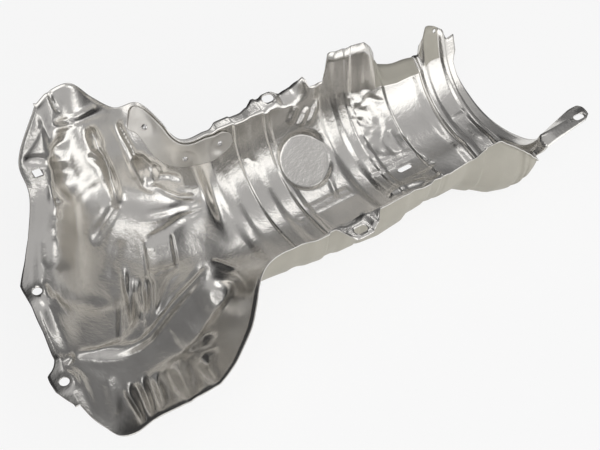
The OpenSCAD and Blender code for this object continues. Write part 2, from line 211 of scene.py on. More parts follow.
def bowl_point(k, line):
    """A point of bowl section k on the given lines."""
    points = BOWL[k]
    points = np.vstack([2 * points[0] - points[1], points, 2 * points[-1] - points[-2]])
    i = np.clip(np.floor(line).astype(int), 0, 5)
    return spline(points[i], points[i + 1], points[i + 2], points[i + 3], (line - i)[:, None])


def trough_point(x, line):
    """A point of the half pipe at distance x on the given lines."""
    x = x + 0 * line
    swell = read(BULGE, x)
    first = -np.degrees(np.arcsin(read(FAR_Z, x) / TROUGH_R))
    last = 180 + np.degrees(np.arcsin(read(NEAR_Z, x) / (TROUGH_R + swell / 2)))
    angle = np.interp(line, range(7), LINE_ANGLES)
    angle = np.where(line < 2, 60 - (60 - first) * (2 - line) / 2, angle)
    angle = np.where(line > 5, 142 + (last - 142) * (line - 5), angle)
    radius = TROUGH_R + swell * ease(95, 140, angle) * (1 - 0.5 * ease(145, 180, angle))
    round_part = np.radians(np.clip(angle, 0, 180))
    past = np.radians(np.where(angle < 0, -angle, np.where(angle > 180, angle - 180, 0)))
    return np.stack([x, radius * np.cos(round_part),
                     -radius * np.sin(round_part) + past * TROUGH_R], -1)


def section(k, line):
    """Section k of the whole shield, on the given lines."""
    if k < 0:
        return 2 * bowl_point(0, line) - bowl_point(1, line)
    if k < len(BOWL):
        return bowl_point(k, line)
    if k == len(BOWL):
        return trough_point(MOUTH_FAR + (MOUTH_NEAR - MOUTH_FAR) * line / 6, line)
    return trough_point(TROUGH_START + PITCH * (k - len(BOWL) - 1), line)


def skin(along, line):
    """The smooth skin at places along the shield and on lines across it."""
    points = np.empty(along.shape + (3,))
    trough = along >= TROUGH_START
    points[trough] = trough_point(along[trough], line[trough])
    place_in = (along - BOWL_START) / PITCH
    number = np.floor(place_in).astype(int)
    for k in np.unique(number[~trough]):
        here = (number == k) & ~trough
        near = [section(k + step, line[here]) for step in (-1, 0, 1, 2)]
        points[here] = spline(*near, (place_in[here] - k)[:, None])
    return points


def hollow_side(along, line):
    """The direction that points into the hollow, square to the skin."""
    step = 0.02
    start = np.where(line < 3, line, line - step)
    run = skin(along + 1, line) - skin(along, line)
    across = skin(along, start + step) - skin(along, start)
    out = np.cross(across, run)
    return out / np.linalg.norm(out, axis=1)[:, None]


# %% [markdown]
# ## What the dies press into the skin
# Ribs stiffen the half pipe and folds take up the spare metal of the bowl. Each is a small rise or
# fall of the skin, and all are added up. Folds are laid out on the press plane, which faces the
# camera, because the press worked from there too. A fold is a bent line with a rise and a half
# width.

# %% Ribs across the trough and the round seat
RIBS = [[-14, -8, 1.5], [-2, 6, -1.5], [19.2, 21.4, 2], [32, 41, -2], [52.6, 54.8, 2.2],
        [57, 63, -2.2], [111, 122, -3.2], [131, 138, 3.2], [145, 148, 1.2], [151, 155, -1.2],
        [191, 193, 1.8], [226, 234, 1.8], [235, 238, -2.2], [239, 241, 2.4], [244, 250, -2],
        [265, 269, 2.4], [271, 274, -2]]
SEAT_X = 84.0
SEAT_ANGLE = 50.0
SEAT_R = 25.5
SEAT_FACE = 79.5
SEAT_EDGE = 3.0
MOAT = (25.5, 28.0, 32.0, 1.2)


def off_seat(points):
    """Distance from the middle of the round seat, and the angle from its middle."""
    angle = np.degrees(np.arctan2(-points[:, 2], points[:, 1])) - SEAT_ANGLE
    return np.hypot(points[:, 0] - SEAT_X, TROUGH_R * np.radians(angle)), angle


def trough_rise(points, along):
    """The ribs, and the flat round seat that cuts through them, with a groove around it."""
    ribs = sum(rise * ease(start, end, points[:, 0]) for start, end, rise in RIBS)
    ribs = ribs * ease(-25, -12, along)
    off, angle = off_seat(points)
    seat = 1 - ease(SEAT_R, SEAT_R + SEAT_EDGE, off)
    level = SEAT_FACE / np.cos(np.radians(np.clip(angle, -60, 60)))
    inner, middle, outer, depth = MOAT
    moat = depth * ease(inner, middle, off) * (1 - ease(middle, outer, off))
    return ribs * (1 - seat) + (np.hypot(points[:, 1], points[:, 2]) - level) * seat - moat


# %% The bowl's main folds
FOLDS = [
    ([(-201, 70), (-194, 53), (-190, 43), (-187, 28)], -2.5, 7),
    ([(-209, 22), (-198, 22), (-191, 21), (-184, 31)], 3.5, 6),
    ([(-182, 50), (-183, 29), (-185, 23), (-180, 15), (-177, 2), (-178, -12)], -6, 7),
    ([(-160, 56), (-157, 45), (-152, 32), (-143, 11), (-134, -18)], -8, 8),
    ([(-131, 60), (-126, 45), (-121, 36), (-116, 24)], -5, 7),
    ([(-118, 28), (-109, 17), (-101, 14), (-96, 10)], -7, 12),
    ([(-138, -16), (-155, -52)], 2, 10),
    ([(-178, -44), (-171, -75)], 2.5, 9),
    ([(-183, -44), (-180, -72)], -2, 7),
    ([(-182, -80), (-173, -91), (-165, -101), (-140, -108), (-130, -105), (-132, -92)], -1.5, 8),
    ([(-131, -50), (-137, -84)], 1.5, 8),
    ([(-150, -143), (-133, -144), (-119, -139), (-109, -132), (-103, -123), (-101, -112)], 3, 6),
    ([(-135, -146), (-117, -144), (-101, -139), (-92, -130), (-72, -101), (-49, -75)], 4, 6),
    ([(-73, -77), (-83, -87), (-87, -101), (-90, -115)], 1.5, 5),
    ([(-184, -102), (-166, -132), (-159, -144)], -3, 7),
    ([(-107, -168), (-85, -191)], -4, 5),
    ([(-96, -163), (-79, -186)], -4, 5),
    ([(-85, -160), (-70, -181)], -4, 6),
    ([(-69, -152), (-48, -172)], -4, 8),
    ([(-44, -148), (-27, -160)], -3, 6),
]
POCKET_LINE = [(-18, -80), (-34, -97), (-46, -115), (-55, -129), (-64, -141), (-82, -152),
               (-101, -168)]
POCKET_DEPTH = 10.0
POCKET_FACE = 31.0
POCKET_WALL = 11.5
PAD_AT = (-94, -64)
PAD_TURN = math.radians(15)
PAD_SIDE = 25.0
PAD_DEPTH = 2.0


def nearest(flat, points):
    """Distance to a bent line on the press plane, the share of its length, and the side."""
    points = np.array(points, float)
    best = np.full(len(flat), np.inf)
    share, side = np.zeros(len(flat)), np.zeros(len(flat))
    for i, (start, run) in enumerate(zip(points, np.diff(points, axis=0))):
        t = np.clip((flat - start) @ run / (run @ run), 0, 1)
        off = flat - start - t[:, None] * run
        distance = np.linalg.norm(off, axis=1)
        closer = distance < best
        best = np.where(closer, distance, best)
        share = np.where(closer, (i + t) / (len(points) - 1), share)
        side = np.where(closer, np.sign(run[0] * off[:, 1] - run[1] * off[:, 0]), side)
    return best, share, side


def fold_rise(flat, points, rise, half):
    """A fold along a bent line, which fades out at both ends."""
    distance, share, _ = nearest(flat, points)
    e = np.clip(distance / half, 0, 1)
    return rise * (1 - (2 * share - 1) ** 4) * (1 - e) ** 2 * (1 + 1.5 * e)


def pocket_rise(flat):
    """The pocket: a flat face falls to a sharp crease, and a short wall climbs out of it."""
    distance, share, side = nearest(flat, POCKET_LINE)
    e = np.clip(distance / np.where(side < 0, POCKET_FACE, POCKET_WALL), 0, 1)
    return -POCKET_DEPTH * ease(0, 0.2, share) * (1 - ease(0.45, 1, share)) * (1 - e) ** 1.2


def pad_rise(flat):
    """The bare square pad on the bowl's floor, with a low frame."""
    off = flat - np.array(PAD_AT)
    a = off @ [math.cos(PAD_TURN), math.sin(PAD_TURN)]
    b = off @ [-math.sin(PAD_TURN), math.cos(PAD_TURN)]
    edge = np.maximum(abs(a), abs(b))
    frame = np.clip(1 - abs(edge - PAD_SIDE / 2 - 1) / 2, 0, 1)
    return -PAD_DEPTH * (1 - ease(PAD_SIDE / 2 - 1, PAD_SIDE / 2 + 1, edge)) + 1.2 * frame


# %% [markdown]
# ## Fine creases
# Where the bowl's wall is drawn into a tight corner the metal buckles into small sharp creases.
# They use the same function as the folds, with narrower lines. A soft noise adds the slight
# unevenness of a drawn sheet. The crumpled patch between two ribs of the trough has a stronger
# noise of its own under its creases.

# %% Fine creases and unevenness
CREASES = [
    ([(-189, 56), (-171, 64), (-151, 74)], -3, 4),
    ([(-191, 51), (-176, 58), (-143, 70)], 3, 4),
    ([(-195, 86), (-190, 77), (-185, 69)], -4, 3),
    ([(-210, 24), (-201, 43), (-198, 57)], -1, 4),
    ([(-180, 44), (-183, 35), (-180, 21), (-179, 12)], -4, 4.5),
    ([(-179, 14), (-177, 2), (-174, -12)], -3, 3),
    ([(-184, 2), (-182, -15), (-177, -27)], 2.5, 3.5),
    ([(-182, 4), (-180, -9), (-174, -27)], -2.5, 3),
    ([(-181, -9), (-173, -20)], 2, 3),
    ([(-174, -12), (-165, 2), (-149, 13)], 1.2, 9),
    ([(-159, 54), (-154, 45), (-150, 36)], -4, 8),
    ([(-152, 38), (-146, 20), (-142, 3), (-136, -15)], -4, 4.5),
    ([(-161, 30), (-154, 23), (-148, 20)], -3, 3.5),
    ([(-136, 60), (-130, 46), (-125, 36), (-121, 20), (-118, 7)], 3, 4),
    ([(-131, 58), (-126, 45), (-122, 37), (-118, 25)], -3.5, 4),
    ([(-127, 58), (-121, 44), (-115, 28)], 3, 4),
    ([(-123, 39), (-120, 28), (-114, 2), (-104, -5)], 2.5, 3.5),
    ([(-116, 28), (-110, 16), (-104, 4)], -6, 9),
    ([(-101, 21), (-106, 6)], -4, 8),
    ([(-105, 3), (-91, -5), (-80, -9), (-63, -9)], -4, 3.5),
    ([(-101, 9), (-89, 11), (-76, 9)], -3, 4.5),
    ([(-115, -27), (-87, -22), (-57, -14)], 1.8, 6),
    ([(-115, -33), (-96, -29), (-68, -18)], -1.5, 5),
    ([(-108, -50), (-92, -42), (-78, -31), (-55, -21)], 2.5, 5),
    ([(-138, -16), (-155, -52)], 1.5, 8),
    ([(-186, -97), (-178, -101), (-172, -98), (-167, -105), (-160, -110)], 2, 4),
    ([(-125, -76), (-120, -92), (-116, -101), (-110, -118)], -4, 4),
    ([(-122, -105), (-117, -134)], 2.5, 3.5),
    ([(-116, -85), (-113, -100), (-112, -109), (-109, -125)], -3.5, 4),
    ([(-112, -96), (-105, -112), (-102, -119)], 3, 4),
    ([(-108, -84), (-108, -95), (-103, -107), (-99, -118)], 2, 3.5),
    ([(-105, -83), (-99, -91), (-96, -108), (-97, -122)], 3, 4),
    ([(-102, -90), (-98, -113)], -2, 3),
    ([(-110, -87), (-109, -99), (-104, -113)], -3, 3.5),
    ([(-97, -130), (-87, -115), (-66, -92), (-53, -73)], -2.5, 5),
    ([(-63, -141), (-35, -130)], 3.5, 4),
    ([(-58, -143), (-46, -142), (-34, -137)], -2.5, 3.5),
    ([(-49, -145), (-31, -141)], 2.5, 4),
    ([(-44, -150), (-31, -145)], -2.5, 4),
    ([(-101, -168), (-82, -189)], 2.5, 4),
    ([(-76, -158), (-61, -175)], 2, 5),
    ([(-56, -151), (-36, -164)], 2.5, 6),
    ([(-122, -162), (-108, -188)], -1.5, 8),
    ([(-181, -31), (-170, -36)], 1.5, 3),
    ([(-181, -38), (-174, -42), (-168, -42)], 2, 4),
    ([(-150, -144), (-129, -143), (-111, -139), (-101, -129), (-97, -118)], 1.8, 4),
    ([(-130, -146), (-110, -144), (-93, -135), (-76, -110), (-50, -74)], 2.2, 4.5),
    ([(-45, -69), (-22, -77)], 2, 3.5),
    ([(-155, -144), (-150, -149)], 3, 5),
    ([(26, 62), (33, 81)], 2.5, 4),
    ([(36, 60), (44, 80)], 2.5, 4),
    ([(45, 63), (54, 86)], 2.5, 4),
    ([(-17, 31), (-12, 28), (-6, 22)], -1.2, 4),
    ([(194, 72), (208, 81)], 1.6, 4),
    ([(211, 67), (215, 58), (225, 51)], 1.6, 4),
    ([(93, 89), (105, 79)], 0.9, 4.5),
    ([(101, 94), (112, 91), (122, 88)], -1.2, 5),
    ([(86, 75), (101, 72), (108, 67)], 0.8, 4.5),
    ([(100, 67), (111, 61), (113, 52)], -0.8, 5),
    ([(121, 73), (125, 64), (122, 51), (129, 42), (137, 33)], -1.3, 6),
    ([(129, 62), (131, 49), (139, 39)], 1, 5),
    ([(138, 60), (144, 49)], -1, 5),
    ([(90, 58), (107, 50), (122, 35)], -0.6, 5),
    ([(84, 84), (95, 88), (107, 99)], 1, 5),
    ([(101, 42), (113, 33), (126, 34)], 0.6, 5),
    ([(102, 24), (126, 33), (152, 40)], 0.6, 2.5),
    ([(106, 14), (139, 25)], 0.6, 2.5),
    ([(121, -7), (143, 3), (165, 9)], 2, 4),
    ([(158, 1), (181, 15)], 2, 4),
    ([(66, 12), (73, -9)], -1.5, 4),
]
RING = (46, 90, 4.7, 0.6)
LONG_PAD = (57, 106, 82, 91, 0.6)
SLOT_PAD = (137, 192, 84, 101, -1.2)
CRUMPLED = (142, 190, 12, 72)
PAD_SLANT = 0.35


def trough_pad(points, angle, x0, x1, a0, a1, rise):
    """A low pad on the trough, between two distances and two angles, a little slanted."""
    x = points[:, 0] - PAD_SLANT * (angle - a0)
    inside = ease(x0 - 1.5, x0 + 1.5, x) * (1 - ease(x1 - 1.5, x1 + 1.5, x))
    return rise * inside * ease(a0 - 1, a0 + 1, angle) * (1 - ease(a1 - 1, a1 + 1, angle))


def ring_rise(points, angle):
    """A small plain ring, raised from the trough."""
    x, at, radius, rise = RING
    off = np.hypot(points[:, 0] - x, TROUGH_R * np.radians(angle - at))
    return rise * np.clip(1.2 - abs(off - radius), 0, 1)


def rough(points, size):
    """Noise from about -1 to 1 whose bumps are about this size."""
    return np.array([noise.noise(Vector(p)) for p in points / size])


def unevenness(points, along, angle):
    """The slight waviness of the drawn sheet, and the crumpled patch."""
    bowl = 1 - ease(-40, 20, along)
    wave = (0.2 + 0.3 * bowl) * rough(points, 30) + (0.05 + 0.13 * bowl) * rough(points, 11)
    x0, x1, a0, a1 = CRUMPLED
    patch = ease(x0, x0 + 8, points[:, 0]) * (1 - ease(x1 - 8, x1, points[:, 0]))
    patch = patch * ease(a0, a0 + 10, angle) * (1 - ease(a1 - 14, a1, angle))
    folded = 1.6 - 4.2 * abs(rough(points + 40, 12))
    return wave + 0.45 * patch * folded


# %% The pressed skin


def bowl_rise(flat):
    """The main folds, the pocket and the pad, which are in the bowl alone."""
    return sum(fold_rise(flat, *fold) for fold in FOLDS) + pocket_rise(flat) + pad_rise(flat)


def pressed(along, line):
    """The skin with all its ribs and folds."""
    points = skin(along, line)
    flat = np.stack([points @ right, points @ up], -1)
    angle = np.degrees(np.arctan2(-points[:, 2], points[:, 1]))
    seen = np.where(along < -20, 1, 1 - ease(4.4, 4.8, line))
    rise = np.where(along < -10, bowl_rise(flat), 0)
    rise = rise + np.where(along > -30, trough_rise(points, along), 0)
    rise = rise + seen * sum(fold_rise(flat, *crease) for crease in CREASES)
    trough = (along > 20) * seen
    pads = trough_pad(points, angle, *LONG_PAD) + trough_pad(points, angle, *SLOT_PAD)
    rise = rise + trough * pads
    rise = rise + trough * ring_rise(points, angle)
    off, _ = off_seat(points)
    rise = rise + unevenness(points, along, angle) * ease(SEAT_R, SEAT_R + 2 * SEAT_EDGE, off)
    return points + hollow_side(along, line) * rise[:, None]


# %% [markdown]
# ## Lips, tabs and flat seats
# Past the pressed form the sheet goes on as narrow lips, wider flanges and tabs. A table gives each
# edge its width and angle from place to place. Around a hole or a rivet the sheet is drawn flat, so
# that a washer or a head sits square.

# %% Edges and seats
LIP = 3.0
FAR_LIP = [[-240, LIP, 60], [-135, LIP, 60], [-60, LIP, 30], [-15, 4, 20], [0, 8, 20], [30, 9, 12],
           [42, 11, 12], [50, 17, 14], [72, 18, 14], [80, 15, 24], [92, 17, 45], [99, 22, 70],
           [104, 26, 76], [107, 15, 88], [126, 15, 88], [129, 46, 88], [133, 50, 88], [150, 55, 88],
           [170, 59, 88], [177, 52, 86], [184, 40, 80], [190, 30, 60], [197, 24, 36], [215, 20, 34],
           [232, 19, 34], [242, 16, 45], [245, 34, 76], [250, 42, 77], [262, 37, 75], [270, 31, 72],
           [276, 18, 70]]
NEAR_LIP = [[-240, LIP, 0], [-60, LIP, 10], [-28, 7, 10], [-5, LIP, 60], [27, LIP, 20], [31, 10, 0],
            [35, 22, 0], [56, 21, 0], [64, 13, 0], [72, LIP, 20], [180, LIP, 70], [262, LIP, 20],
            [271, 6, -20], [276, 14, -20]]
LEFT_LIP = [[0, LIP, 40], [2.5, LIP, 10], [2.75, 5, 0], [3, 10, 0], [3.3, 5, 0], [3.6, LIP, 0],
            [4, 4, 0], [4.4, 8, 0], [4.8, 12, 0], [5.4, 12, 0], [5.8, 7, 0], [6, 4, 0]]
END_LIP = [[0, 9, 0, 2], [0.4, 4, 0, 1], [1, 4, 0, 0], [2, 7, 0, 0], [4, 12, 0, 0], [5.2, 12, 0, 0],
           [5.4, 8, 0, 0], [5.55, 50, 10, 6], [5.7, 60, 11, 3], [5.85, 63, 8, 0], [6, 64, 4, -4],
           [6.5, 62, 5, -2], [7, 55, 7, 1]]
HOLES = {
    "ear_left": ([-214, 14, -16], [0, 0, 1], 4.25, 0),
    "ear_low": ([-234, -74, -26], [0, 0, 1], 4.25, 0),
    "near_tab": ([45, -94, 0], [0, 0, 1], 4.0, 2.5),
    "far_flange": ([66, 87, 4], [0, -0.2, 1], 4.5, 1.5),
    "far_ear": ([261, 78, 3], [0, -1, 0.25], 2.0, 0),
    "arm": ([327, -73, -33], [0, 0, 1], 3.5, 2.5),
}
FLOOR_HOLE = ([171, 0, -77], [0, 0, 1], 3.0, 5.0)
SQUARE_HOLE = ([-162, 111, 14], [0.15, -0.25, 0.96])
SQUARE_SIDE = 8.0
RIVETS = {
    "rivet_left": ([-52, 114, 9], [-0.5, -0.65, 0.6]),
    "rivet_middle": ([-29, 85, -19], [-0.35, -0.95, 0]),
    "rivet_right": ([3, 76, -10], [0, -1, 0.15]),
}
LAND_R = 6.0
SEAT_MARGIN = 2.5
SEAT_FADE = 7.0


def wing(table, t, side, sign):
    """How far a lip reaches out of its edge, for each place t."""
    width, angle = read(table, t), np.radians(read(table, t, 2))
    reach = np.zeros(t.shape + (3,))
    reach[:, side] = sign * width * np.cos(angle)
    reach[:, 2] = width * np.sin(angle)
    return reach


def flatten(points, centre, direction, radius):
    """Draws the sheet flat around a centre."""
    unit = np.array(direction, float) / np.linalg.norm(direction)
    off = points - np.array(centre, float)
    near = 1 - ease(radius, radius + SEAT_FADE, np.linalg.norm(off, axis=1))
    return points - unit * ((off @ unit) * near)[:, None]


def sheet(along, line):
    """The whole sheet: the pressed form, its lips and tabs, and its flat seats."""
    s = np.clip(along, BOWL_START, TROUGH_END)
    c = np.clip(line, 0, 6)
    points = pressed(s, c)
    points = points + np.maximum(0, -line)[:, None] * wing(FAR_LIP, s, 1, 1)
    points = points + np.maximum(0, line - 6)[:, None] * wing(NEAR_LIP, s, 1, -1)
    points = points + np.maximum(0, BOWL_START - along)[:, None] * wing(LEFT_LIP, c, 0, -1)
    end = np.stack([read(END_LIP, line, k) for k in (1, 2, 3)], -1)
    points = points + np.maximum(0, along - TROUGH_END)[:, None] * end
    for centre, direction, radius, half in HOLES.values():
        points = flatten(points, centre, direction, radius + half + SEAT_MARGIN)
    for centre, direction in RIVETS.values():
        points = flatten(points, centre, direction, LAND_R)
    return points


# %% [markdown]
# ## Making the sheet
# A flat grid is the natural start for a pressed sheet: an operator makes it, and every vertex is
# then moved to its place in the pressing, as the press moves the metal. Rows are closer together
# over the lips, the round seat and the ribs. The wall gets its thickness from a Solidify modifier,
# which also gives the back of the sheet a second material, because the back is matt and the hollow
# side is bright.

# %% Helpers for objects
LIP_STEPS = 4
BOWL_STEP = 1.9
TROUGH_STEP = 2.8
SEAT_END = 116.0
RIB_EASE = 0.6
RIB_ROWS = 6
LINE_STEPS = 132


def with_lips(places):
    """The places, with close ones over the lip beyond each end."""
    lip = np.arange(1, LIP_STEPS + 1) / LIP_STEPS
    return np.concatenate([places[0] - lip[::-1], places, places[-1] + lip])


def rows_along():
    """Rows along the shield: even ones as far as the round seat, and closer ones at the ribs."""
    bowl = np.arange(BOWL_START, TROUGH_START, BOWL_STEP)
    trough = np.concatenate([np.arange(TROUGH_START, SEAT_END, BOWL_STEP),
                             np.arange(SEAT_END, TROUGH_END, TROUGH_STEP)])
    trough = [x for x in trough if all(x < start - 1 or x > end + 1 for start, end, _ in RIBS)]
    steps = [np.linspace(start - RIB_EASE, end + RIB_EASE, RIB_ROWS)
             for start, end, _ in RIBS if start > TROUGH_START]
    return np.unique(np.concatenate([bowl, trough, *steps, [TROUGH_END]]).round(2))


def new_object(name, bm):
    """Turns a bmesh into an object at the origin."""
    mesh = bpy.data.meshes.new(name)
    bm.to_mesh(mesh)
    bm.free()
    for polygon in mesh.polygons:
        polygon.use_smooth = True
    piece = bpy.data.objects.new(name, mesh)
    bpy.context.scene.collection.objects.link(piece)
    return piece


def net_object(name, alongs, lines, place_points, back_shows=None):
    """A grid moved to the places that a function gives, and kept inside the measured box."""
    bm = bmesh.new()
    bmesh.ops.create_grid(bm, x_segments=len(alongs) - 1, y_segments=len(lines) - 1, size=0.5)
    flat = np.array([v.co for v in bm.verts])
    i = np.rint((flat[:, 0] + 0.5) * (len(alongs) - 1)).astype(int)
    j = np.rint((flat[:, 1] + 0.5) * (len(lines) - 1)).astype(int)
    if back_shows:
        for face in bm.faces:
            corner = face.verts[0].index
            face.material_index = int(back_shows(alongs[i[corner]], lines[j[corner]]))
    bmesh.ops.reverse_faces(bm, faces=bm.faces)
    inset = SHEET_T / 2 * MM
    low, high = np.array(cad_box)
    places = np.clip(to_rest(place_points(i, j)), low + inset, high - inset)
    for vertex, point in zip(bm.verts, places):
        vertex.co = point
    return new_object(name, bm)


def apply_modifiers(piece):
    """Makes the result of a piece's modifiers its own mesh."""
    graph = bpy.context.evaluated_depsgraph_get()
    mesh = bpy.data.meshes.new_from_object(piece.evaluated_get(graph))
    piece.modifiers.clear()
    piece.data = mesh


# %% The sheet's grid
alongs = with_lips(rows_along())
lines = with_lips(np.linspace(0, 6, LINE_STEPS + 1))
print("the grid has", len(alongs), "rows and", len(lines), "lines")


def turned_over(along, line):
    """Where the far flange is bent over, so that the camera sees the matt back of the sheet."""
    return line < -0.05 and (183 < along < 236 or 244 < along < 262)


def shield_points(i, j):
    """The shield's middle layer."""
    return sheet(alongs[i], lines[j])


shield = net_object("shield_sheet", alongs, lines, shield_points, turned_over)
for _ in range(2):
    shield.data.materials.append(None)
thick = shield.modifiers.new("wall", "SOLIDIFY")
thick.thickness = SHEET_T * MM
thick.offset = 0
thick.material_offset = 1
print("the sheet has", len(shield.data.polygons), "faces on one side")

# %% [markdown]
# ## Cutting the holes
# The holes are punched after the pressing. Each punch is a cylinder, drawn long where the hole is a
# slot, that stands square on its flat seat. A last one is square. One Boolean takes them all out of
# the wall.

# %% Punches
PUNCH_LENGTH = 16.0
PUNCH_SEGMENTS = 40


def aim(centre, direction):
    """A frame that stands on Z along a direction, with its X along the shield."""
    z = Vector(direction).normalized()
    y = z.cross(Vector((1, 0, 0))).normalized()
    x = y.cross(z)
    turned = Matrix([x, y, z]).transposed().to_4x4()
    return Matrix.Translation(Vector(centre)) @ turned


def to_rest_matrix(local):
    """A frame of the trough in millimetres, as one of the resting part in metres."""
    rest = Matrix.Translation(Vector(REST_SHIFT * MM)) @ turn.to_4x4() @ Matrix.Scale(MM, 4)
    return rest @ local


punches = bmesh.new()
for centre, direction, radius, half in list(HOLES.values()) + [FLOOR_HOLE]:
    made = bmesh.ops.create_cone(punches, cap_ends=True, segments=PUNCH_SEGMENTS,
                                 radius1=radius, radius2=radius, depth=PUNCH_LENGTH)
    for vertex in made["verts"]:
        vertex.co.x += half if vertex.co.x > 0 else -half
    bmesh.ops.transform(punches, matrix=to_rest_matrix(aim(centre, direction)), verts=made["verts"])
made = bmesh.ops.create_cube(punches, size=1.0)
bmesh.ops.scale(punches, vec=(SQUARE_SIDE, SQUARE_SIDE, PUNCH_LENGTH), verts=made["verts"])
bmesh.ops.transform(punches, matrix=to_rest_matrix(aim(*SQUARE_HOLE)), verts=made["verts"])
punch = new_object("punches", punches)
cut = shield.modifiers.new("holes", "BOOLEAN")
cut.operation = "DIFFERENCE"
cut.object = punch
cut.solver = "EXACT"
apply_modifiers(shield)
bpy.data.objects.remove(punch)
print("after punching the sheet has", len(shield.data.polygons), "faces")

# %% [markdown]
# ## The strap and its rivets
# The strap is a second, thicker sheet. It bridges the notch on the hollow side and stands a
# millimetre clear of the sheet all along, also over the three flat lands round the rivets.

# %% The strap
STRAP_T = 1.5
STRAP_GAP = 1.0
LAND_UP = 0.2
STRAP_LINE = [[-125, 0.28, 0.2], [-122, 0.28, 0.27], [-105, 0.37, 0.34], [-80, 0.5, 0.48],
              [-53, 0.49, 0.47], [-20, 0.39, 0.35], [8, 0.36, 0.28], [14, 0.36, 0.2],
              [17, 0.36, 0.1]]
strap_along = np.linspace(-125, 17, 90)
strap_share = np.linspace(-1, 1, 27)


def strap_points(i, j):
    """The strap's middle layer."""
    along = strap_along[i]
    line = read(STRAP_LINE, along) + read(STRAP_LINE, along, 2) * strap_share[j]
    lift = SHEET_T / 2 + STRAP_GAP + STRAP_T / 2
    return sheet(along, line) + hollow_side(along, line) * lift


strap = net_object("notch_strap", strap_along, strap_share, strap_points)
thick = strap.modifiers.new("wall", "SOLIDIFY")
thick.thickness = STRAP_T * MM
thick.offset = 0
apply_modifiers(strap)

# %% The rivets
RIVET_R = 1.6
HEAD_R = 2.9
HEAD_H = 1.5
DIMPLE_R = 1.5
SHEET_LAND = SHEET_T / 2 + LAND_UP
STRAP_LAND = SHEET_T / 2 + STRAP_GAP + STRAP_T + LAND_UP


def rivet_object(name, centre, direction):
    """A round headed rivet, spun from its half outline."""
    bm = bmesh.new()
    outline = [(0, -SHEET_LAND - 1.1), (RIVET_R * 1.25, -SHEET_LAND - 1.1),
               (RIVET_R * 1.5, -SHEET_LAND - 0.7), (RIVET_R * 1.5, -SHEET_LAND),
               (RIVET_R, -SHEET_LAND), (RIVET_R, STRAP_LAND)]
    for degrees in range(0, 70, 10):
        a = math.radians(degrees)
        outline.append((HEAD_R * math.cos(a), STRAP_LAND + HEAD_H * math.sin(a)))
    outline += [(DIMPLE_R, STRAP_LAND + HEAD_H * 0.9), (DIMPLE_R - 0.2, STRAP_LAND + 0.5),
                (0.5, STRAP_LAND + 0.6), (0, STRAP_LAND + 0.7)]
    verts = [bm.verts.new((r, 0, z)) for r, z in outline]
    edges = [bm.edges.new(pair) for pair in zip(verts, verts[1:])]
    bmesh.ops.spin(bm, geom=verts + edges, cent=(0, 0, 0), axis=(0, 0, 1), dvec=(0, 0, 0),
                   angle=2 * math.pi, steps=32, use_merge=True)
    bmesh.ops.remove_doubles(bm, verts=bm.verts, dist=0.001)
    bmesh.ops.recalc_face_normals(bm, faces=bm.faces)
    bmesh.ops.transform(bm, matrix=to_rest_matrix(aim(centre, direction)), verts=bm.verts)
    return new_object(name, bm)


rivets = {name: rivet_object(name + "_head", *place) for name, place in RIVETS.items()}
print("rivets:", sorted(rivets))

# %% [markdown]
# ## Writing shader maths as Python
# A finish is a small calculation on each point of a surface. To keep it readable, one class wraps a
# node's socket and lets Python's own signs add the Math nodes. Every other node comes from one
# method, which takes its settings first and its inputs after.

# %% The finish kit


class Wire:
    """A node's output, which takes part in sums and products."""

    def __init__(self, finish, socket):
        self.finish = finish
        self.socket = socket

    def maths(self, operation, first, second):
        return self.finish.node("ShaderNodeMath", {"operation": operation}, {0: first, 1: second})

    def __add__(self, other):
        return self.maths("ADD", self, other)

    def __radd__(self, other):
        return self.maths("ADD", other, self)

    def __sub__(self, other):
        return self.maths("SUBTRACT", self, other)

    def __rsub__(self, other):
        return self.maths("SUBTRACT", other, self)

    def __mul__(self, other):
        return self.maths("MULTIPLY", self, other)

    def __rmul__(self, other):
        return self.maths("MULTIPLY", other, self)


class Nodes:
    """A node tree, of a material or of the world."""

    def __init__(self, tree, coordinates):
        self.tree = tree
        self.place = self.node("ShaderNodeTexCoord", {}, {}, output=coordinates)

    def put(self, socket, value):
        """Links a wire to a socket, or sets its value."""
        if isinstance(value, Wire):
            self.tree.links.new(value.socket, socket)
        else:
            socket.default_value = value

    def node(self, kind, settings, inputs, output=0):
        """Any node: its settings first, then the values or wires of its sockets."""
        made = self.tree.nodes.new(kind)
        for name, value in settings.items():
            if name == "stops":
                ramp = made.color_ramp.elements
                while len(ramp) < len(value):
                    ramp.new(0.5)
                for stop, (position, colour) in zip(ramp, value):
                    stop.position = position
                    stop.color = colour
            else:
                setattr(made, name, value)
        for name, value in inputs.items():
            self.put(made.inputs[name], value)
        return Wire(self, made.outputs[output])

    def noise(self, scale, detail=2.0, roughness=0.5):
        """Noise with a mean near a half, whose grains are about one part in scale of a metre."""
        return self.node("ShaderNodeTexNoise", {"noise_dimensions": "3D"},
                         {"Vector": self.place, "Scale": scale, "Detail": detail,
                          "Roughness": roughness})

    def between(self, low, high, share):
        """A number that goes from low to high as share goes from 0 to 1."""
        return low + (high - low) * share

    def blend(self, share, first, second):
        """A colour between two colours."""
        return self.node("ShaderNodeMix", {"data_type": "RGBA"},
                         {0: share, 6: first, 7: second}, output=2)

    def bump(self, height, distance, under=None):
        """Small relief, given as a height from 0 to 1 and its depth in metres."""
        inputs = {"Height": height, "Distance": distance, "Strength": 1.0}
        if under is not None:
            inputs["Normal"] = under
        return self.node("ShaderNodeBump", {}, inputs)

    def rays(self, kind):
        """1 for one kind of ray, such as the camera's."""
        return self.node("ShaderNodeLightPath", {}, {}, output="Is " + kind + " Ray")


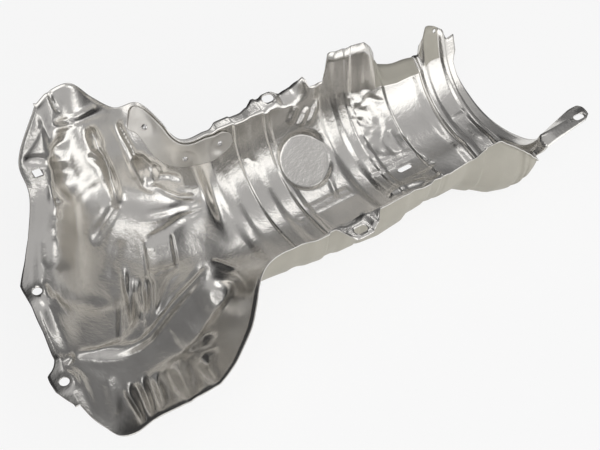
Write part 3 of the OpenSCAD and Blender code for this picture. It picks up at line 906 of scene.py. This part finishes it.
class Finish(Nodes):
    """A material and the nodes that make it."""

    def __init__(self, name):
        self.material = bpy.data.materials.new(name)
        self.material.use_nodes = True
        super().__init__(self.material.node_tree, "Object")
        self.shader = self.tree.nodes["Principled BSDF"]

    def surface(self, **values):
        """Sets sockets of the main shader by name."""
        for name, value in values.items():
            self.put(self.shader.inputs[name.replace("_", " ")], value)


# %% [markdown]
# ## The finishes
# The hollow side is mill aluminium that the dies have stretched and rubbed: bright, a little uneven
# and lightly pebbled. The back of the same sheet is matt and beige grey. The strap is a duller,
# darker sheet, and the rivets are plain and bright.

# %% Bright hollow side
bright = Finish("bright_sheet")
cloud = bright.noise(18, 3)
grain = bright.noise(700, 2)
pebble = bright.noise(260, 3)
relief = bright.bump(pebble, 0.0002, bright.bump(grain, 0.00008))
bright.surface(
    Base_Color=bright.blend(cloud, (0.60, 0.582, 0.55, 1), (0.80, 0.78, 0.742, 1)),
    Metallic=1.0,
    Roughness=bright.between(0.2, 0.29, cloud),
    Normal=relief,
)

# %% Matt back
matt = Finish("matt_back")
cloud = matt.noise(30, 4)
grain = matt.noise(500, 3)
matt.surface(
    Base_Color=matt.blend(cloud, (0.42, 0.40, 0.345, 1), (0.55, 0.525, 0.455, 1)),
    Metallic=0.35,
    Roughness=0.62,
    Normal=matt.bump(grain, 0.0001),
)

# %% Strap and rivets
strap_finish = Finish("strap_sheet")
cloud = strap_finish.noise(40, 4)
strap_finish.surface(
    Base_Color=strap_finish.blend(cloud, (0.62, 0.60, 0.56, 1), (0.82, 0.79, 0.74, 1)),
    Metallic=0.75,
    Roughness=0.45,
    Normal=strap_finish.bump(strap_finish.noise(700, 2), 0.00005),
)
rivet_finish = Finish("rivet_metal")
rivet_finish.surface(
    Base_Color=rivet_finish.blend(rivet_finish.noise(300, 2),
                                  (0.7, 0.69, 0.68, 1), (0.85, 0.84, 0.83, 1)),
    Metallic=1.0,
    Roughness=0.3,
)

for number, finish in enumerate((bright, matt)):
    shield.data.materials[number] = finish.material
strap.data.materials.append(strap_finish.material)
for rivet in rivets.values():
    rivet.data.materials.append(rivet_finish.material)

# %% [markdown]
# ## Floor, lamps and camera light
# Bright metal shows its surroundings, so the lamps are large and soft. The floor is plain and pale.
# It looks white to the camera and in reflections, and still takes the part's shadow. The room
# itself is grey, with a darker wall on the right and a dark corner at the back left. They give the
# metal its dark tones. The camera sees white past the floor's edge instead of the room.

# %% The floor
FLOOR_SIZE = 8.0
FLOOR_DROP = 0.0006
FLOOR_GLOW = 0.85
bm = bmesh.new()
bmesh.ops.create_grid(bm, x_segments=1, y_segments=1, size=FLOOR_SIZE / 2)
bmesh.ops.translate(bm, verts=bm.verts, vec=(0, 0, -FLOOR_DROP))
floor = new_object("floor", bm)
paper = Finish("floor_paper")
paper.surface(Base_Color=(0.9, 0.9, 0.9, 1), Roughness=0.9)
floor.data.materials.append(paper.material)
glow = paper.node("ShaderNodeEmission", {}, {"Color": (1, 1, 1, 1), "Strength": 1.0})
share = FLOOR_GLOW * (paper.rays("Camera") + paper.rays("Glossy") + paper.rays("Transmission"))
mixed = paper.node("ShaderNodeMixShader", {},
                   {0: share, 1: Wire(paper, paper.shader.outputs[0]), 2: glow})
paper.put(paper.tree.nodes["Material Output"].inputs["Surface"], mixed)

# %% The lamps
world = bpy.data.worlds.new("studio")
bpy.context.scene.world = world
world.use_nodes = True
room = Nodes(world.node_tree, "Generated")


def toward(round_by, height_by, wide, narrow):
    """1 in a direction of the room, given by two angles, and 0 further off than an angle."""
    a, b = math.radians(round_by), math.radians(height_by)
    aim_at = (math.cos(a) * math.cos(b), math.sin(a) * math.cos(b), math.sin(b))
    product = room.node("ShaderNodeVectorMath", {"operation": "DOT_PRODUCT"},
                        {0: room.place, 1: aim_at}, output="Value")
    return room.node("ShaderNodeMapRange", {"interpolation_type": "SMOOTHSTEP"},
                     {"Value": product, "From Min": math.cos(math.radians(wide)),
                      "From Max": math.cos(math.radians(narrow))})


WALLS = (0.47, 0.47, 0.475, 1)
CEILING = (0.55, 0.55, 0.56, 1)
RIGHT_WALL = (0.18, 0.18, 0.185, 1)
DARK_CORNER = (0.04, 0.04, 0.042, 1)
WHITE = (1, 1, 1, 1)
walls = room.blend(toward(0, 90, 75, 15), WALLS, CEILING)
walls = room.blend(toward(20, 18, 48, 12), walls, RIGHT_WALL)
walls = room.blend(toward(120, 12, 78, 34), walls, DARK_CORNER)
walls = room.blend(room.rays("Camera"), walls, WHITE)
room.put(room.tree.nodes["Background"].inputs["Color"], walls)


def softbox(name, round_by, height_by, distance, width, height, glow):
    """A rectangular lamp that faces the part, placed by two angles in degrees and a distance."""
    lamp = bpy.data.lights.new(name, "AREA")
    lamp.shape = "RECTANGLE"
    lamp.size = width
    lamp.size_y = height
    lamp.energy = glow * math.pi * width * height
    made = bpy.data.objects.new(name, lamp)
    bpy.context.scene.collection.objects.link(made)
    a, b = math.radians(round_by), math.radians(height_by)
    start = distance * Vector((math.cos(a) * math.cos(b), math.sin(a) * math.cos(b), math.sin(b)))
    made.location = start
    made.rotation_euler = (-start).to_track_quat("-Z", "Y").to_euler()
    return made


softbox("lamp_front", -60, 22, 1.6, 2.4, 1.15, 1.18)
softbox("lamp_left", -142, 50, 1.5, 0.9, 0.9, 1.3)
softbox("lamp_top", 41, 61, 0.9, 0.45, 0.12, 1.9)
bpy.context.scene.view_settings.view_transform = "Standard"

# %% [markdown]
# ## Handing the pieces to the frame
# Each finished piece rides on the part's one body and stands for the measured solid that it covers,
# which is hidden.

# %% Ride and replace
for piece, node, slot in ([(shield, "shield", "sheet"), (strap, "strap", "strap")]
                          + [(rivets[name], name, "rivets") for name in RIVETS]):
    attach(piece, "root")
    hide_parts(node)
